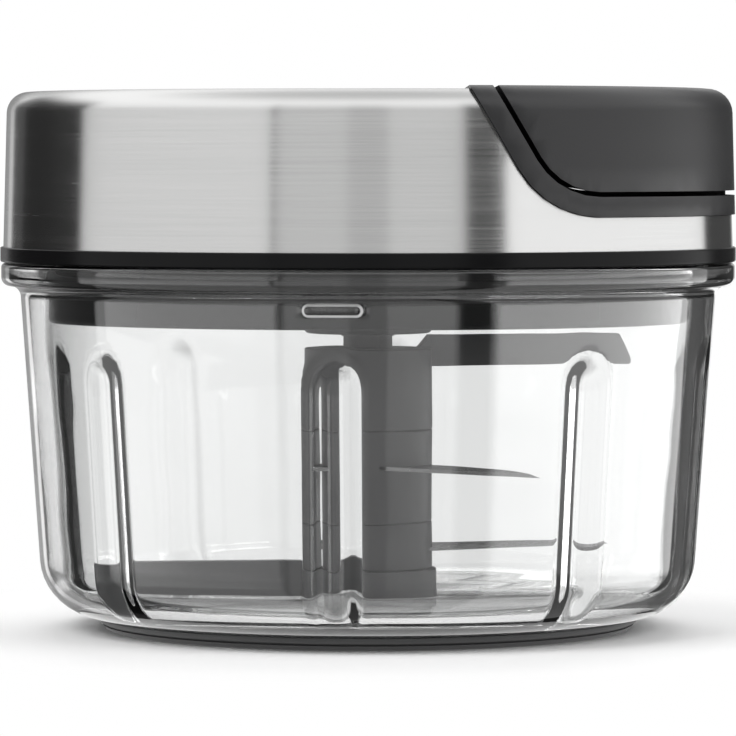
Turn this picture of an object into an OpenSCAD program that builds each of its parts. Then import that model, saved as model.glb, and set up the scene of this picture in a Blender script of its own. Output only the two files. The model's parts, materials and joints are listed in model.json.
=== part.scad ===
// Pull cord food chopper: a ribbed glass bowl on a soft foot ring, a blade column
// that turns on a post in the bowl, and a round lid with a rewinding cord reel.
// Frame: +Z up, origin on the table under the centre of the bowl. The handle docks
// on the +X side of the lid and pulls out along +X. Millimetres.

/* [Overall] */
// Outer diameter of the lid's dark band, the widest part of the object
lid_d = 138; // [130:0.1:150]

/* [Bowl] */
// Step from the lid's band in to the rim flange
rim_step = 0.2; // [0:0.1:1]
// Height of the glass from its base to the rim
bowl_h = 66.1; // [60:0.1:80]
// Thickness of the side wall
bowl_wall = 4.2; // [3:0.1:5]
// Thickness of the floor
bowl_floor = 3.8; // [3:0.1:6]
// Slope of the side wall from the vertical, in degrees
bowl_slope = 4; // [2:0.1:5]
// How far the rim flange stands out past the side wall
flange_lip = 3.5; // [2:0.1:5]
// Thickness of the rim flange
flange_h = 4.2; // [3:0.1:6]
// Outer radius of the rounded base corner
base_corner_r = 11; // [8:0.1:13]
// Inner radius of the rounded floor corner
floor_corner_r = 6; // [5:0.1:10]
// Number of ribs inside the bowl
rib_count = 8; // [4:1:10]
// Radius of each rib's round nose
rib_r = 5.2; // [3.5:0.1:5.5]
// How far a rib stands into the bowl
rib_depth = 2.4; // [2:0.1:3.4]
// Distance from the rim down to the top of the ribs
rib_drop = 15.4; // [12:0.1:25]
// Turn of the first rib and the lugs from the front, in degrees
rib_turn = -5.5; // [-20:0.5:20]
// Length of the index lug under the flange
lug_length = 10; // [6:0.1:14]
// Radius of the index lug's round section
lug_r = 1.1; // [0.8:0.1:1.4]
// Radius of the post that the blade column turns on
post_r = 4; // [3:0.1:4.5]
// Height of the post above the floor
post_h = 9; // [6:0.1:10]

/* [Foot ring] */
// Height of the soft ring under the bowl
foot_h = 2.6; // [2:0.1:5]
// Width of the ring's foot
foot_w = 7; // [5:0.1:9]
// How far the ring's upper edge stands out past the flat of the base
foot_lip = 1.1; // [0:0.1:1.5]
// Width of the ring's locating bead in the base of the glass
foot_bead_w = 2.4; // [1.5:0.1:3]
// Height of that bead
foot_bead_h = 1.1; // [0.6:0.1:1.6]

/* [Lid base] */
// Height of the dark band on which the cap stands
band_h = 2.8; // [2:0.1:5]
// How far the lid plugs into the bowl
skirt_depth = 10.9; // [10:0.1:14]
// Thickness of the plug's wall
skirt_t = 3.5; // [3:0.1:5]
// Running gap between the plug and the glass
skirt_gap = 0.6; // [0.4:0.05:1]
// Height of the recess under the lid's floor
base_recess = 2; // [1:0.1:3]
// Thickness of the lid's floor
base_t = 2.5; // [2.2:0.1:3.5]
// Radius of the bearing boss
boss_r = 12; // [10.5:0.1:13]
// How far the boss reaches below the plug
boss_drop = 2.4; // [1:0.1:4]
// Height of the ring that locates the cap
upstand_h = 3.2; // [2:0.1:5]
// Gap between the resting lid and the rim
seat_gap = 0.2; // [0.1:0.05:0.3]

/* [Cap] */
// Room between the end of the axle and the steel cap over it
cap_room = 1.2; // [0.8:0.1:4]
// Thickness of the sheet
cap_t = 0.7; // [0.5:0.1:1]
// Step from the band in to the cap
band_step = 0.6; // [0.3:0.05:1]
// Draft of the cap's side, as a change of radius
cap_draft = 0.8; // [0:0.1:1.5]
// Radius of the cap's rounded top edge
cap_edge_r = 4; // [3:0.1:8]

/* [Handle and dock] */
// Distance from the axis to the dock at the top of the cap
dock_x = 18.2; // [17:0.1:20]
// Slope of the dock's back wall from the horizontal, in degrees
dock_angle = 59.5; // [55:0.5:65]
// Radius at the foot of the back wall
dock_r = 17; // [10:0.1:19]
// Height of the dock's underside above the band
dock_rise = 6.1; // [5:0.1:8]
// Thickness of the dock's wall
dock_wall = 3.6; // [3.5:0.1:5]
// Gap between the docked handle and the dock
dock_gap = 0.9; // [0.3:0.05:0.95]
// Thickness of the handle's shell
handle_wall = 2.6; // [2:0.1:3.2]
// Thickness of the cover that closes the handle
cover_t = 2.4; // [1.8:0.1:3]
// How far that cover stops short of the band's radius at each end
cover_inset = 23; // [20:0.5:28]

/* [Cord reel] */
// Diameter of the cord
cord_d = 1.8; // [1.5:0.1:2]
// Radius of the cord's centreline on the reel
cord_r = 15; // [14:0.1:16]
// Turns that are wound on at rest
cord_turns = 3.4; // [3:0.1:3.6]
// Distance between neighbouring turns
cord_pitch = 2.35; // [2.3:0.05:2.4]
// Radius of the reel's upper flange
reel_flange_r = 19; // [18:0.1:19.5]
// Outer radius of the spring drum
drum_r = 22.8; // [22.5:0.1:23.5]
// Thickness of the drum's wall
drum_wall = 3.2; // [3:0.1:3.6]
// Thickness of the reel's plates
reel_plate = 1.3; // [1:0.1:1.6]
// Radius of the fixed axle
axle_r = 2.5; // [2:0.1:2.8]

/* [Rewind spring] */
// Height of the spring strip
spring_h = 4.6; // [3.5:0.1:6]
// Thickness of the strip
spring_t = 0.5; // [0.3:0.05:0.7]
// Number of turns
spring_turns = 6; // [4:1:8]
// Radius of the arbor that holds the inner end
arbor_r = 4.2; // [3.8:0.1:4.6]

/* [Clutch] */
// Number of ratchet teeth
tooth_count = 12; // [10:1:14]
// Radius at the roots of the teeth
tooth_root_r = 16; // [15.5:0.1:16.5]
// Height of a tooth
tooth_h = 2.2; // [1.8:0.1:2.4]
// Thickness of the cup's wall behind the teeth
cup_wall = 3; // [2:0.1:3.2]
// Thickness of a pawl
pawl_t = 3.6; // [3:0.1:5]
// Radius of a pawl's pivot pin
pawl_pin_r = 1; // [0.8:0.1:1.2]

/* [Drive] */
// Distance across the flats of the drive spigot
spigot_flats = 8; // [7:0.1:9]
// Length of the spigot below the boss
spigot_length = 16; // [12:0.1:18]
// Radius of the drive journal
journal_r = 5; // [5:0.1:5.5]
// Thickness of the bush's wall
bush_t = 2; // [1.5:0.1:2.5]

/* [Blade column] */
// Radius of the column
column_r = 12; // [11:0.1:13]
// Radius of the inner core
core_r = 7.5; // [7:0.1:8]
// Gap between the top of the column and the boss
column_gap = 2.8; // [2:0.1:4]
// Height of the foot collar
collar_h = 4.8; // [4:0.1:6]
// Height of the lower blade's carrier
lower_carrier_h = 8.7; // [7:0.1:11]
// Height of the upper blade's carrier
upper_carrier_h = 17.4; // [14:0.1:19]
// Gap between the tip of the lower blade and the ribs
lower_blade_gap = 4.2; // [2:0.1:12]
// Gap between the tip of the upper blade and the ribs
upper_blade_gap = 9.3; // [2:0.1:14]
// Thickness of the blades
blade_t = 0.7; // [0.6:0.1:1.5]
// Width of a blade at its root
blade_w = 14; // [11:0.1:16]
// Direction of the lower blade, in degrees from +X
lower_blade_turn = 20; // [-60:1:60]
// Direction of the upper blade, in degrees from +X
upper_blade_turn = -44; // [-60:1:60]
// Gap between the tip of the lower paddle and the ribs
paddle_gap = 3.9; // [3:0.1:12]
// Height of a paddle's arm
paddle_h = 5.8; // [4:0.1:7]
// Thickness of a paddle's arm
paddle_t = 3; // [2:0.1:4]
// Direction of the upper paddle, in degrees from +X
paddle_turn = 9.5; // [-30:0.5:30]

/* [Hidden] */
$fn = 96;
// Gap of a fixed fit, of a running fit and between parts that pass each other
fit = 0.05;
run = 0.1;
clear = 0.3;
// Overshoot of a cut past the face that it opens
over = 1;

// Levels from the table up
bowl_z0 = foot_h;
floor_z = bowl_z0 + bowl_floor;
rim_z = bowl_z0 + bowl_h;
flange_z0 = rim_z - flange_h;
lid_z0 = rim_z + seat_gap;
cap_z0 = lid_z0 + band_h;
skirt_z0 = lid_z0 - skirt_depth;
base_under = skirt_z0 + base_recess;
base_top = base_under + base_t;
boss_z0 = skirt_z0 - boss_drop;
boss_top = base_top + 3;

// Radii of the glass at a height
band_r = lid_d / 2;
flange_r = band_r - rim_step;
function side_r(z) = flange_r - flange_lip - (flange_z0 - z) * tan(bowl_slope);
function inner_r(z) = side_r(z) - bowl_wall / cos(bowl_slope);
base_r = side_r(bowl_z0) - base_corner_r * (1 - sin(bowl_slope)) / cos(bowl_slope);
rib_top = rim_z - rib_drop;
bead_r = base_r - foot_w / 2;

// Lid radii
cap_r = band_r - band_step;
skirt_r = inner_r(skirt_z0) - skirt_gap;
well_r = skirt_r - skirt_t;
upstand_r = cap_r - cap_t - run;
upstand_t = 2;
seal_z0 = skirt_z0 + 5;
seal_h = 3.5;
seal_depth = 1.8;

far = 2 * band_r;

// Drive and clutch levels
journal_clear = journal_r + fit;
bush_r = journal_r + bush_t;
bush_flange_t = 1;
cup_z0 = boss_top + bush_flange_t + clear;
cup_floor = 1.5;
cup_r = tooth_root_r + cup_wall;
pawl_z0 = cup_z0 + cup_floor + clear;
cup_top = pawl_z0 + pawl_t + run;
carrier_z0 = pawl_z0 + pawl_t + clear;
screw_head_h = 1;
reel_z0 = carrier_z0 + reel_plate + screw_head_h;

// Reel levels
drum_in = drum_r - drum_wall;
spring_z0 = reel_z0 + clear;
drum_top = spring_z0 + spring_h + clear + reel_plate;
groove_h = cord_turns * cord_pitch + cord_d + 2 * clear;
groove_z1 = drum_top + groove_h;
reel_top = groove_z1 + reel_plate;
rings_per_turn = 24;
reel_core_r = (cord_r - cord_d / 2) * cos(180 / rings_per_turn) - fit;
washer_t = 0.5;
plate_z0 = reel_top + washer_t + 2 * run;
plate_t = 3;
plate_top = plate_z0 + plate_t;
frame_r = drum_r + 7.2;
leg_t = 5.5;
leg_w = 9;
clip_t = 0.9;
axle_z0 = cup_z0 - 5;
axle_top = plate_top + clip_t + 1.1;

// Dock curve: a sloping back wall that rounds into a level floor
cap_top = axle_top + cap_room + cap_t;
dock_z0 = cap_z0 + dock_rise;
function dock_wall_x(z, d) = dock_x + (cap_top - z) / tan(dock_angle) + d / sin(dock_angle);

// Cord route: off the reel, round the mouth of the eyelet and out along +X
cord_z = groove_z1 - clear - cord_d / 2;
bend_r = 6;
bend_in = 0.35;
bend_x = dock_wall_x(cord_z, 0) + bend_in;
heading = asin((cord_r + bend_r) / norm([bend_x, bend_r])) - atan2(bend_r, bend_x);
leave_angle = heading - 90;
eyelet_r = 3.6;
throat_r = cord_d / 2 + clear;
bell_r = bend_r - throat_r;
eyelet_x0 = bend_x - 3.2;
eyelet_x1 = bend_x + 1.5;
eyelet_boss_r = eyelet_r + 2;
handle_d = dock_wall + dock_gap;
cover_boss_out = 2.8;
knot_x = dock_wall_x(cord_z, handle_d + cover_t) + cover_boss_out;
knot_r = 2.4;
knot_washer_t = 0.8;
knot_washer_r = 3.2;

// Column levels
column_z0 = floor_z + clear;
column_top = boss_z0 - column_gap;
lower_carrier_z0 = column_z0 + collar_h;
upper_carrier_z0 = lower_carrier_z0 + lower_carrier_h;
top_collar_z0 = upper_carrier_z0 + upper_carrier_h;
lower_blade_rise = 3.3;
upper_blade_rise = 10.1;
lower_blade_z0 = lower_carrier_z0 + lower_blade_rise;
upper_blade_z0 = upper_carrier_z0 + upper_blade_rise;
blade_eye_inset = 1.6;
blade_eye_r = column_r - blade_eye_inset;
paddle_lift = 0.5;
upper_paddle_z1 = boss_z0 - clear - run;
lower_paddle_z0 = column_z0 + paddle_lift;

// Reach of the blades and paddles, short of the ribs
function rib_nose_r(z) = inner_r(z) - rib_depth;
lower_blade_length = rib_nose_r(lower_blade_z0) - lower_blade_gap;
upper_blade_length = rib_nose_r(upper_blade_z0) - upper_blade_gap;
paddle_length = rib_nose_r(lower_paddle_z0) - paddle_gap;
core_flange_r = core_r + 2;
core_flange_h = 1.2;
key_w = 2;
key_h = 0.8;
socket_z0 = boss_z0 - spigot_length - 1;

// Screws
screw_r = 1.25;
screw_length = 11;
frame_angles = [90, 180, 270];
dock_post_r = 3.5;
dock_post_inset = 28;
dock_post_x = band_r - dock_post_inset;
dock_post_y = 28;
carrier_screw_angles = [60, 180, 300];
carrier_screw_r = 0.7;
carrier_head_r = 1.2;
carrier_screw_length = 4;
cover_half = band_r - cover_inset;
cover_screw_inset = 19;
cover_screw_x = band_r - cover_screw_inset;
cover_screw_y = cover_half - cover_screw_inset + 1;
cover_screw_length = 8;
cover_boss_r = knot_washer_r + 1;
cover_drop = 4.5;

// Outlines with rounded corners: each point is [x, y, corner radius]
function unit(v) = v / norm(v);
function xy(p) = [p[0], p[1]];
function corner_arc(a, v, b, r) =
    let (u = unit(a - v), w = unit(b - v))
    let (half = acos(max(-1, min(1, u * w))) / 2, centre = v + unit(u + w) * r / sin(half))
    let (from = v + u * r / tan(half) - centre, to = v + w * r / tan(half) - centre)
    let (a0 = atan2(from[1], from[0]), turn = atan2(to[1], to[0]) - a0)
    let (sweep = turn > 180 ? turn - 360 : turn < -180 ? turn + 360 : turn)
    let (steps = max(2, ceil(abs(sweep) / 12)))
    [for (i = [0:steps]) centre + r * [cos(a0 + sweep * i / steps), sin(a0 + sweep * i / steps)]];
function rounded(pts) =
    let (n = len(pts))
    [for (i = [0:n - 1])
        each (pts[i][2] > 0
            ? corner_arc(xy(pts[(i + n - 1) % n]), xy(pts[i]), xy(pts[(i + 1) % n]), pts[i][2])
            : [xy(pts[i])])];
function polar(r, a) = [r * cos(a), r * sin(a)];

module revolve(pts) { rotate_extrude() polygon(rounded(pts)); }

// Extrudes an outline in X and Z along Y, from -half to +half
module across(half) { rotate([90, 0, 0]) linear_extrude(2 * half, center = true) children(); }

// Cylinder along +X
module x_cylinder(x0, x1, r, z) { translate([x0, 0, z]) rotate([0, 90, 0]) cylinder(h = x1 - x0, r = r); }

module tube_z(z0, z1, r_out, r_in) {
    difference() {
        translate([0, 0, z0]) cylinder(h = z1 - z0, r = r_out);
        translate([0, 0, z0 - over]) cylinder(h = z1 - z0 + 2 * over, r = r_in);
    }
}

// Round bar with a domed top, along +Z from the origin
module domed_bar(h, r) {
    rotate_extrude() union() {
        square([r, h - r]);
        intersection() {
            translate([0, h - r]) circle(r);
            translate([0, h - 2 * r]) square([r, 2 * r]);
        }
    }
}

// Bowl
module bowl_outside() {
    revolve([
        [0, bowl_z0, 0],
        [side_r(bowl_z0), bowl_z0, base_corner_r],
        [side_r(flange_z0), flange_z0, 2.2],
        [flange_r, flange_z0, 1.6],
        [flange_r, rim_z, 0.8],
        [0, rim_z, 0]
    ]);
}

module bowl_ribs() {
    axis_out = rib_r - rib_depth;
    for (i = [0:rib_count - 1])
        rotate(rib_turn - 90 + i * 360 / rib_count)
            translate([inner_r(0) + axis_out, 0, 0])
                rotate([0, bowl_slope, 0]) domed_bar(rib_top / cos(bowl_slope), rib_r);
}

module bowl_cavity() {
    difference() {
        revolve([
            [0, floor_z, 0],
            [inner_r(floor_z), floor_z, floor_corner_r],
            [inner_r(rim_z + over), rim_z + over, 0],
            [0, rim_z + over, 0]
        ]);
        bowl_ribs();
        translate([0, 0, floor_z - over]) domed_bar(post_h + over, post_r);
    }
}

module index_lug() {
    translate([side_r(flange_z0) + 0.2, 0, flange_z0 - 3]) rotate([90, 0, 0]) union() {
        cylinder(h = lug_length - 2 * lug_r, r = lug_r, center = true);
        for (s = [-1, 1]) translate([0, 0, s * (lug_length / 2 - lug_r)]) sphere(lug_r);
    }
}

module bowl() {
    color("lightcyan") difference() {
        union() {
            bowl_outside();
            for (turn = [0, 180]) rotate(rib_turn - 90 + turn) index_lug();
        }
        bowl_cavity();
        tube_z(bowl_z0 - over, bowl_z0 + foot_bead_h + clear,
            bead_r + foot_bead_w / 2 + run, bead_r - foot_bead_w / 2 - run);
    }
}

module foot_ring() {
    color("dimgray") revolve([
        [base_r - foot_w, 0, 0.4],
        [base_r - 1.2, 0, 0.6],
        [base_r + foot_lip, bowl_z0, 0.3],
        [bead_r + foot_bead_w / 2, bowl_z0, 0],
        [bead_r + foot_bead_w / 2, bowl_z0 + foot_bead_h, 0.3],
        [bead_r - foot_bead_w / 2, bowl_z0 + foot_bead_h, 0.3],
        [bead_r - foot_bead_w / 2, bowl_z0, 0],
        [base_r - foot_w, bowl_z0, 0.3]
    ]);
}

// Lid base with its plug, band, floor and bearing boss
module at_frame_legs() {
    for (a = frame_angles) rotate(a) translate([frame_r - leg_t / 2, 0, 0]) children();
}

module at_dock_posts() { for (s = [-1, 1]) translate([dock_post_x, s * dock_post_y, 0]) children(); }

module lid_base() {
    color("#1c1c1e") difference() {
        revolve([
            [bush_r + fit, boss_z0, 0],
            [boss_r, boss_z0, 0.8],
            [boss_r, base_under, 1],
            [well_r, base_under, 1],
            [well_r, skirt_z0, 0.8],
            [skirt_r, skirt_z0, 0.8],
            [skirt_r, seal_z0, 0],
            [skirt_r - seal_depth, seal_z0, 0],
            [skirt_r - seal_depth, seal_z0 + seal_h, 0],
            [skirt_r, seal_z0 + seal_h, 0],
            [skirt_r, lid_z0, 0],
            [band_r, lid_z0, 0.4],
            [band_r, cap_z0, 0.3],
            [upstand_r, cap_z0, 0],
            [upstand_r, cap_z0 + upstand_h, 0.5],
            [upstand_r - upstand_t, cap_z0 + upstand_h, 0.5],
            [upstand_r - upstand_t, cap_z0, 0],
            [well_r, cap_z0, 1],
            [well_r, base_top, 1.5],
            [boss_r, base_top, 0],
            [boss_r, boss_top, 0],
            [bush_r + fit, boss_top, 0]
        ]);
        at_frame_legs() base_screw_hole();
        at_dock_posts() base_screw_hole();
    }
}

module base_screw_hole() {
    translate([0, 0, base_under - over]) cylinder(h = base_t + 2 * over, r = screw_r + run);
    translate([0, 0, base_under - over]) cylinder(h = over + 1.3, r = 2 * screw_r + run);
}

module base_screw() {
    translate([0, 0, base_under + 0.1]) cylinder(h = 1.2, r = 2 * screw_r);
    translate([0, 0, base_under + 0.1]) cylinder(h = screw_length, r = screw_r);
}

// Blind hole for a screw, up from the seat of a leg or post
module pilot_hole() {
    translate([0, 0, base_top - over]) cylinder(h = screw_length - base_t + over + 1, r = screw_r + fit);
}

module base_screws() {
    color("silver") {
        at_frame_legs() base_screw();
        at_dock_posts() base_screw();
    }
}

module seal_ring() {
    lip_z = seal_z0 + seal_h / 2;
    color("#2b2b2d") revolve([
        [skirt_r - seal_depth + fit, seal_z0 + fit, 0],
        [skirt_r, seal_z0 + fit, 0],
        [inner_r(lip_z) - run, lip_z, 0.3],
        [skirt_r, seal_z0 + seal_h - fit, 0],
        [skirt_r - seal_depth + fit, seal_z0 + seal_h - fit, 0]
    ]);
}

// Lid's outer form, grown outwards by g and carried on below the band's top
module lid_form(g, below = 0) {
    foot = below > 0 ? [[cap_r + g, cap_z0 - below, 0]] : [];
    revolve(concat([[0, cap_z0 - below, 0]], foot, [
        [cap_r + g, cap_z0, 0],
        [cap_r - cap_draft + g, cap_top + g, max(0.5, cap_edge_r + g)],
        [0, cap_top + g, 0]
    ]));
}

// Everything on the handle's side of the dock curve, moved d towards the handle
module dock_side(d) {
    polygon(rounded([
        [dock_wall_x(cap_top + far, d), cap_top + far, 0],
        [dock_wall_x(dock_z0 + d, d), dock_z0 + d, dock_r - d],
        [far, dock_z0 + d, 0],
        [far, cap_top + far, 0]
    ]));
}

module steel_cap() {
    color("lightgray") difference() {
        lid_form(0);
        lid_form(-cap_t, over);
        across(far) dock_side(-run);
    }
}

module handle_dock() {
    color("#232325") difference() {
        union() {
            intersection() {
                lid_form(band_step);
                across(far) difference() {
                    dock_side(0);
                    dock_side(dock_wall);
                }
            }
            difference() {
                x_cylinder(eyelet_x0, far / 2, eyelet_boss_r, cord_z);
                across(far) dock_side(dock_wall / 2);
            }
            at_dock_posts() translate([0, 0, base_top])
                cylinder(h = dock_z0 - base_top + dock_wall / 2, r = dock_post_r);
        }
        x_cylinder(eyelet_x0 - over, eyelet_x1 + fit, eyelet_r + fit, cord_z);
        x_cylinder(eyelet_x0, far / 2, throat_r + clear, cord_z);
        at_dock_posts() pilot_hole();
    }
}

// Bell-mouthed eyelet that turns the cord into the dock
module cord_eyelet() {
    color("silver") translate([bend_x, 0, cord_z]) rotate([0, 90, 0]) rotate_extrude() {
        intersection() {
            translate([throat_r + bell_r, 0]) circle(bell_r);
            translate([throat_r, eyelet_x0 - bend_x]) square([eyelet_r - throat_r, bend_x - eyelet_x0]);
        }
        translate([throat_r, -0.01]) square([eyelet_r - throat_r, eyelet_x1 - bend_x + 0.01]);
    }
}

// Bridge over the reel that holds the axle
module reel_frame() {
    color("#3a3a3c") difference() {
        union() {
            translate([0, 0, plate_z0]) linear_extrude(plate_t) intersection() {
                circle(frame_r);
                translate([-far, -far]) square([far + dock_wall_x(plate_top, 0) - 2, 2 * far]);
            }
            at_frame_legs() translate([-leg_t / 2, -leg_w / 2, base_top])
                cube([leg_t, leg_w, plate_z0 - base_top + 1]);
        }
        translate([0, 0, plate_z0 - over]) cylinder(h = plate_t + 2 * over, r = axle_r + fit);
        at_frame_legs() pilot_hole();
    }
}

module axle_pin() {
    color("silver") difference() {
        translate([0, 0, axle_z0]) cylinder(h = axle_top - axle_z0, r = axle_r);
        tube_z(plate_top, plate_top + clip_t, axle_r + over, axle_r - 0.5);
    }
}

// Retaining ring in the axle's groove
module axle_clip() {
    color("gray") difference() {
        tube_z(plate_top + fit, plate_top + clip_t - fit, axle_r + 1.8, axle_r - 0.5 + fit);
        translate([0, -1, plate_top - over]) cube([axle_r + 3, 2, clip_t + 2 * over]);
    }
}

module thrust_washer() {
    color("white") tube_z(reel_top + run, reel_top + run + washer_t, axle_r + 3, axle_r + run);
}

// Sleeve on the axle, slotted for the inner end of the spring
module spring_arbor() {
    color("gray") difference() {
        tube_z(spring_z0, spring_z0 + spring_h, arbor_r, axle_r + fit);
        translate([0, -spring_t - run, spring_z0 - over])
            cube([arbor_r + 1, spring_t + 2 * run, spring_h + 2 * over]);
    }
}

// Flat spiral strip, hooked into the arbor inside and into the drum's wall outside
spring_r0 = arbor_r + 0.6;
spring_r1 = drum_in - 0.6;
spring_steps = 20 * spring_turns;
function spring_side(half) = [for (i = [0:spring_steps])
    let (t = i / spring_steps)
    polar(spring_r0 + (spring_r1 - spring_r0) * t + half, 360 * spring_turns * t)];
function reversed(v) = [for (i = [len(v) - 1:-1:0]) v[i]];

module rewind_spring() {
    half = spring_t / 2;
    hook_in = axle_r + 2 * fit;
    hook_out = drum_in + drum_wall * 0.5;
    color("slategray") translate([0, 0, spring_z0]) linear_extrude(spring_h) polygon(concat(
        spring_side(-half),
        [[spring_r1 - half, spring_t], [hook_out, spring_t], [hook_out, 0]],
        reversed(spring_side(half)),
        [[spring_r0 + half, -spring_t], [hook_in, -spring_t], [hook_in, 0]]));
}

module drive_bush() {
    color("peru") {
        difference() {
            union() {
                translate([0, 0, boss_z0]) cylinder(h = boss_top - boss_z0, r = bush_r);
                translate([0, 0, boss_top]) cylinder(h = bush_flange_t, r = bush_r + 2);
            }
            translate([0, 0, boss_z0 - over])
                cylinder(h = boss_top + bush_flange_t - boss_z0 + 2 * over, r = journal_clear);
        }
    }
}

// Drive cup: hex spigot and journal below, ring of saw teeth above
function tooth_points() = [for (i = [0:tooth_count - 1])
    let (a = i * 360 / tooth_count)
    each [polar(tooth_root_r, a), polar(tooth_root_r - tooth_h, a)]];

module hexagon(flats) { circle(r = flats / 2 / cos(30), $fn = 6); }

module drive_cup() {
    color("#4a4a4d") difference() {
        union() {
            translate([0, 0, boss_z0 - spigot_length])
                linear_extrude(spigot_length + 2) hexagon(spigot_flats);
            translate([0, 0, boss_z0 - 0.5]) cylinder(h = cup_z0 - boss_z0 + 1, r = journal_r);
            translate([0, 0, cup_z0]) cylinder(h = cup_top - cup_z0, r = cup_r);
        }
        translate([0, 0, cup_z0 + cup_floor]) linear_extrude(cup_top) polygon(tooth_points());
        translate([0, 0, axle_z0 - clear]) cylinder(h = far, r = axle_r + fit);
    }
}

// Pawls: each pivots on a pin under the carrier and rests on the ramp of a tooth
pawl_pivot_r = 8.6;
pawl_pivot_a = -60;
pawl_boss_r = 2.4;
pawl_tip_gap = 1.6;
pawl_tip_r = tooth_root_r - pawl_tip_gap;
pawl_tip_a = -10;
function pawl_outline() =
    let (p = polar(pawl_pivot_r, pawl_pivot_a), tip = polar(pawl_tip_r, pawl_tip_a))
    let (u = unit(tip - p), n = [u[1], -u[0]])
    [tip, polar(pawl_tip_r - 1.6, pawl_tip_a + 1), p - pawl_boss_r * n, p + pawl_boss_r * n];

module pawl() {
    color("gray") translate([0, 0, pawl_z0]) linear_extrude(pawl_t) difference() {
        union() {
            polygon(pawl_outline());
            translate(polar(pawl_pivot_r, pawl_pivot_a)) circle(pawl_boss_r);
        }
        translate(polar(pawl_pivot_r, pawl_pivot_a)) circle(pawl_pin_r + fit);
    }
}

module pawl_a() { pawl(); }
module pawl_b() { rotate(180) pawl(); }

module pawl_pins() {
    color("silver") for (turn = [0, 180]) rotate(turn)
        translate(concat(polar(pawl_pivot_r, pawl_pivot_a), [pawl_z0]))
            cylinder(h = carrier_z0 + reel_plate - pawl_z0, r = pawl_pin_r);
}

// Leaf springs that push the pawls out, each with an eye on a peg of the carrier
peg_r = 1.4;
peg_circle_r = 9.2;
peg_pos = polar(peg_circle_r, 24);
leaf_t = 0.4;
leaf_inset = 2.3;
leaf_rise = 0.4;
leaf_end = polar(pawl_tip_r - leaf_inset, pawl_tip_a + 2.5);
leaf_z0 = pawl_z0 + leaf_rise;
leaf_h = pawl_t - 2 * leaf_rise;

module pawl_springs() {
    along = unit(leaf_end - peg_pos);
    side = leaf_t / 2 * [-along[1], along[0]];
    root = peg_pos + (peg_r + leaf_t) * along;
    color("slategray") for (turn = [0, 180])
        rotate(turn) translate([0, 0, leaf_z0]) linear_extrude(leaf_h) {
            difference() {
                translate(peg_pos) circle(peg_r + fit + leaf_t);
                translate(peg_pos) circle(peg_r + fit);
            }
            polygon([root + side, leaf_end + side, leaf_end - side, root - side]);
        }
}

module at_carrier_screws() {
    for (a = carrier_screw_angles) rotate(a) translate([drum_r - drum_wall / 2, 0, 0]) children();
}

module pawl_carrier() {
    color("#55555a") difference() {
        union() {
            tube_z(carrier_z0, reel_z0, drum_r, arbor_r + clear);
            for (turn = [0, 180]) rotate(turn) translate(concat(peg_pos, [leaf_z0]))
                cylinder(h = carrier_z0 - leaf_z0 + 0.5, r = peg_r);
        }
        for (turn = [0, 180]) rotate(turn)
            translate(concat(polar(pawl_pivot_r, pawl_pivot_a), [carrier_z0 - over]))
                cylinder(h = reel_plate + over, r = pawl_pin_r + fit);
        at_carrier_screws() translate([0, 0, carrier_z0 - over]) {
            cylinder(h = over + screw_head_h, r = carrier_head_r + run);
            cylinder(h = far, r = carrier_screw_r + fit);
        }
    }
}

module carrier_screws() {
    color("silver") at_carrier_screws() {
        translate([0, 0, carrier_z0]) cylinder(h = screw_head_h - fit, r = carrier_head_r);
        translate([0, 0, carrier_z0])
            cylinder(h = reel_z0 - carrier_z0 + carrier_screw_length - clear, r = carrier_screw_r);
    }
}

// Reel: spring drum below, cord drum above
module reel() {
    color("whitesmoke") difference() {
        revolve([
            [drum_in, reel_z0, 0],
            [drum_r, reel_z0, 0],
            [drum_r, drum_top, 0.8],
            [reel_core_r, drum_top, 0],
            [reel_core_r, groove_z1, 0],
            [reel_flange_r, groove_z1, 0.4],
            [reel_flange_r, reel_top, 0.4],
            [axle_r + fit, reel_top, 0],
            [axle_r + fit, drum_top - reel_plate, 0],
            [drum_in, drum_top - reel_plate, 0]
        ]);
        translate([drum_in - over, -run, reel_z0 - over])
            cube([over + drum_wall * 0.6, spring_t + 2 * run, over + spring_h + 2 * clear]);
        at_carrier_screws() translate([0, 0, reel_z0 - over])
            cylinder(h = over + carrier_screw_length, r = carrier_screw_r + fit);
    }
}

// Cord: a round tube swept along points, with the section upright
sides = 8;
function heading_at(path, i) =
    unit(path[min(i + 1, len(path) - 1)] - path[max(i - 1, 0)]);
function section(p, along, r) =
    let (aside = unit([along[1], -along[0], 0]))
    [for (k = [0:sides - 1]) p + r * (cos(360 * k / sides) * aside + [0, 0, sin(360 * k / sides)])];
module swept_tube(path, r) {
    n = len(path);
    points = [for (i = [0:n - 1]) each section(path[i], heading_at(path, i), r)];
    walls = [for (i = [0:n - 2], k = [0:sides - 1])
        let (a = i * sides + k, b = i * sides + (k + 1) % sides)
        each [[a, b, b + sides], [a, b + sides, a + sides]]];
    ends = [for (k = [1:sides - 2])
        each [[0, k + 1, k], [(n - 1) * sides, (n - 1) * sides + k, (n - 1) * sides + k + 1]]];
    polyhedron(points, concat(walls, ends));
}

winding_rings = ceil(cord_turns * rings_per_turn);
leave_point = concat(polar(cord_r, leave_angle), [cord_z]);
leave_way = [cos(heading), sin(heading), 0];
lead = 0.4;
winding_path = concat(
    [for (i = [winding_rings:-1:0])
        let (t = cord_turns * i / winding_rings)
        concat(polar(cord_r, leave_angle - 360 * t), [cord_z - cord_pitch * t])],
    [leave_point + lead * leave_way]);
winding_gap = min([for (i = [0:winding_rings], j = [0:winding_rings])
    if (j - i > rings_per_turn / 2) norm(winding_path[i] - winding_path[j]) - cord_d]);
echo(winding_gap = winding_gap);

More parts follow.
